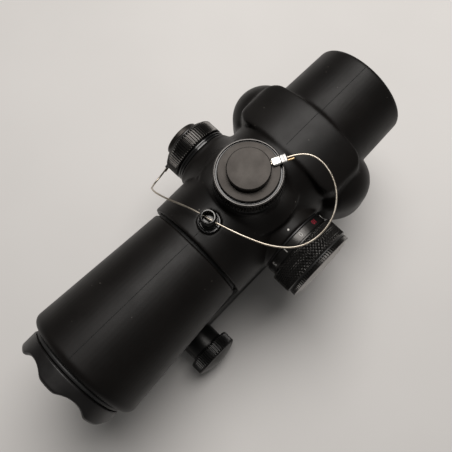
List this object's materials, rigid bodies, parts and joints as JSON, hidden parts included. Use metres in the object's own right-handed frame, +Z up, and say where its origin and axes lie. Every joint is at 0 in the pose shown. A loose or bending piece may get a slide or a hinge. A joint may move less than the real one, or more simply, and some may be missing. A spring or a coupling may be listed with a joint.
{
  "type": "prism weapon sight",
  "caption": "Compact rubber-armoured prism sight with tethered turret caps, a numbered side brightness dial, a scalloped hood ring and an accessory rail clamp.",
  "frame": {"origin": "on the rail seat of the clamp, directly under the elevation turret's axis", "axes": "+X forward to the objective along the optical axis, +Y to the user's left, where the dial is, +Z up out of the rail"},
  "size_m": [0.1368, 0.0644, 0.0751],
  "materials": {
    "armour_rubber": "fine matte rubber skin, black with a warm grey sheen",
    "black_anodised": "satin black anodised",
    "cap_anodised": "satin dark grey anodised, turned, with a knurled wall",
    "dial_black": "semi-matte black with a diamond grip and painted figures",
    "glass_coated": "coated optical glass",
    "prism_glass": "polished optical glass",
    "wire_rope": "thin stranded steel wire rope with a warm tint",
    "crimp_steel": "satin crimped steel",
    "black_steel": "black oxide steel",
    "brass": "satin brass",
    "seal_rubber": "matte black rubber seal",
    "cell_steel": "satin nickel plated button cell",
    "holder_plastic": "matte black plastic"
  },
  "bodies": {
    "sight": {"housing": "black_anodised", "armour_rear": "armour_rubber", "armour_centre": "armour_rubber", "armour_front": "armour_rubber", "objective_cell": "black_anodised", "objective_rear_lens": "glass_coated", "objective_spacer": "black_anodised", "objective_front_lens": "glass_coated", "objective_retainer": "black_anodised", "eyepiece_retainer": "black_anodised", "eyepiece_eye_lens": "glass_coated", "eyepiece_spacer": "black_anodised", "eyepiece_field_lens": "glass_coated", "gimbal_pins": "black_steel", "elevation_base": "black_anodised", "elevation_click_ring": "brass", "elevation_o_ring": "seal_rubber", "windage_base": "black_anodised", "windage_click_ring": "brass", "windage_o_ring": "seal_rubber", "tether_post": "black_steel", "tether_washer": "black_anodised", "tether_wire_elevation": "wire_rope", "tether_wire_windage": "wire_rope", "illumination_base": "black_anodised", "dial_clip": "black_steel", "battery_contact": "brass", "led_holder": "holder_plastic", "mount_base": "black_anodised", "mount_screws": "black_steel", "clamp_bolt_rear": "black_steel", "clamp_bolt_front": "black_steel"},
    "elevation_lift": {"elevation_tether_loop": "wire_rope", "elevation_tether_ferrule": "crimp_steel", "elevation_tether_sleeve": "crimp_steel"},
    "elevation_cap": {"elevation_cap": "cap_anodised"},
    "windage_lift": {"windage_tether_loop": "wire_rope", "windage_tether_ferrule": "crimp_steel", "windage_tether_sleeve": "crimp_steel"},
    "windage_cap": {"windage_cap": "cap_anodised"},
    "elevation_adjuster": {"elevation_adjuster": "crimp_steel"},
    "elevation_plunger": {"elevation_plunger": "brass"},
    "windage_adjuster": {"windage_adjuster": "crimp_steel"},
    "windage_plunger": {"windage_plunger": "brass"},
    "prism_gimbal": {"gimbal_ring": "black_anodised"},
    "prism_carrier": {"prism_cell": "black_anodised", "half_penta_prism": "prism_glass", "roof_prism": "prism_glass", "prism_clip": "black_anodised", "reticle": "glass_coated", "reticle_retainer": "black_anodised"},
    "illumination_dial": {"illumination_dial": "dial_black", "battery": "cell_steel"},
    "battery_seal": {"battery_seal": "seal_rubber"},
    "battery_cap": {"battery_cap": "dial_black"},
    "hood_seal": {"hood_seal": "seal_rubber"},
    "hood_ring": {"hood_ring": "black_anodised"},
    "clamp_jaw": {"clamp_jaw": "black_anodised"},
    "thumb_nut_front": {"thumb_nut_front": "black_anodised"},
    "thumb_nut_rear": {"thumb_nut_rear": "black_anodised"}
  },
  "joints": [
    {"name": "elevation_cap_lift", "type": "slide", "parent": "sight", "child": "elevation_lift", "axis": [0, 0, 1], "range_m": [0, 0.003]},
    {"name": "elevation_cap_turn", "type": "hinge", "parent": "elevation_lift", "child": "elevation_cap", "pos_m": [0, 0, 0.034], "axis": [0, 0, 1], "range_deg": [0, 1440]},
    {"name": "windage_cap_lift", "type": "slide", "parent": "sight", "child": "windage_lift", "axis": [0, -1, 0], "range_m": [0, 0.003]},
    {"name": "windage_cap_turn", "type": "hinge", "parent": "windage_lift", "child": "windage_cap", "pos_m": [0, 0, 0.034], "axis": [0, -1, 0], "range_deg": [0, 1440]},
    {"name": "elevation_adjuster_turn", "type": "hinge", "parent": "sight", "child": "elevation_adjuster", "pos_m": [0, 0, 0.034], "axis": [0, 0, 1], "range_deg": [-360, 360]},
    {"name": "elevation_plunger_travel", "type": "slide", "parent": "sight", "child": "elevation_plunger", "axis": [0, 0, 1], "range_m": [-0.0005, 0.0005]},
    {"name": "windage_adjuster_turn", "type": "hinge", "parent": "sight", "child": "windage_adjuster", "pos_m": [0, 0, 0.034], "axis": [0, -1, 0], "range_deg": [-360, 360]},
    {"name": "windage_plunger_travel", "type": "slide", "parent": "sight", "child": "windage_plunger", "axis": [0, -1, 0], "range_m": [-0.0005, 0.0005]},
    {"name": "prism_tilt", "type": "hinge", "parent": "sight", "child": "prism_gimbal", "pos_m": [-0.0361, 0, 0.034], "axis": [0, 1, 0], "range_deg": [-0.8, 0.8]},
    {"name": "prism_swing", "type": "hinge", "parent": "prism_gimbal", "child": "prism_carrier", "pos_m": [-0.0361, 0, 0.034], "axis": [0, 0, 1], "range_deg": [-0.8, 0.8]},
    {"name": "illumination_turn", "type": "hinge", "parent": "sight", "child": "illumination_dial", "pos_m": [0, 0, 0.034], "axis": [0, 1, 0], "range_deg": [0, 330]},
    {"name": "battery_cap_lift", "type": "slide", "parent": "illumination_dial", "child": "battery_seal", "axis": [0, 1, 0], "range_m": [0, 0.00187]},
    {"name": "battery_cap_turn", "type": "hinge", "parent": "battery_seal", "child": "battery_cap", "pos_m": [0, 0, 0.034], "axis": [0, 1, 0], "range_deg": [0, 900]},
    {"name": "hood_travel", "type": "slide", "parent": "sight", "child": "hood_seal", "axis": [1, 0, 0], "range_m": [0, 0.002]},
    {"name": "hood_turn", "type": "hinge", "parent": "hood_seal", "child": "hood_ring", "pos_m": [0, 0, 0.034], "axis": [1, 0, 0], "range_deg": [0, 720]},
    {"name": "jaw_travel", "type": "slide", "parent": "sight", "child": "clamp_jaw", "axis": [0, 1, 0], "range_m": [0, 0.0032]},
    {"name": "thumb_nut_front_turn", "type": "hinge", "parent": "clamp_jaw", "child": "thumb_nut_front", "pos_m": [0.0437, 0, -0.0005], "axis": [0, 1, 0], "range_deg": [0, 1440]},
    {"name": "thumb_nut_rear_turn", "type": "hinge", "parent": "clamp_jaw", "child": "thumb_nut_rear", "pos_m": [-0.0063, 0, -0.0005], "axis": [0, 1, 0], "range_deg": [0, 1440]}
  ],
  "couplings": [
    {"joint": "elevation_cap_turn", "follows": "elevation_cap_lift", "rad_per_m": 8377.6},
    {"joint": "windage_cap_turn", "follows": "windage_cap_lift", "rad_per_m": 8377.6},
    {"joint": "elevation_adjuster_turn", "follows": "elevation_plunger_travel", "rad_per_m": 12566},
    {"joint": "windage_adjuster_turn", "follows": "windage_plunger_travel", "rad_per_m": 12566},
    {"joint": "prism_tilt", "follows": "elevation_plunger_travel", "rad_per_m": -27.701},
    {"joint": "prism_swing", "follows": "windage_plunger_travel", "rad_per_m": -27.701},
    {"joint": "battery_cap_turn", "follows": "battery_cap_lift", "rad_per_m": 8377.6},
    {"joint": "hood_turn", "follows": "hood_travel", "rad_per_m": 6283.2},
    {"joint": "thumb_nut_front_turn", "follows": "jaw_travel", "rad_per_m": 7854},
    {"joint": "thumb_nut_rear_turn", "follows": "jaw_travel", "rad_per_m": 7854}
  ]
}
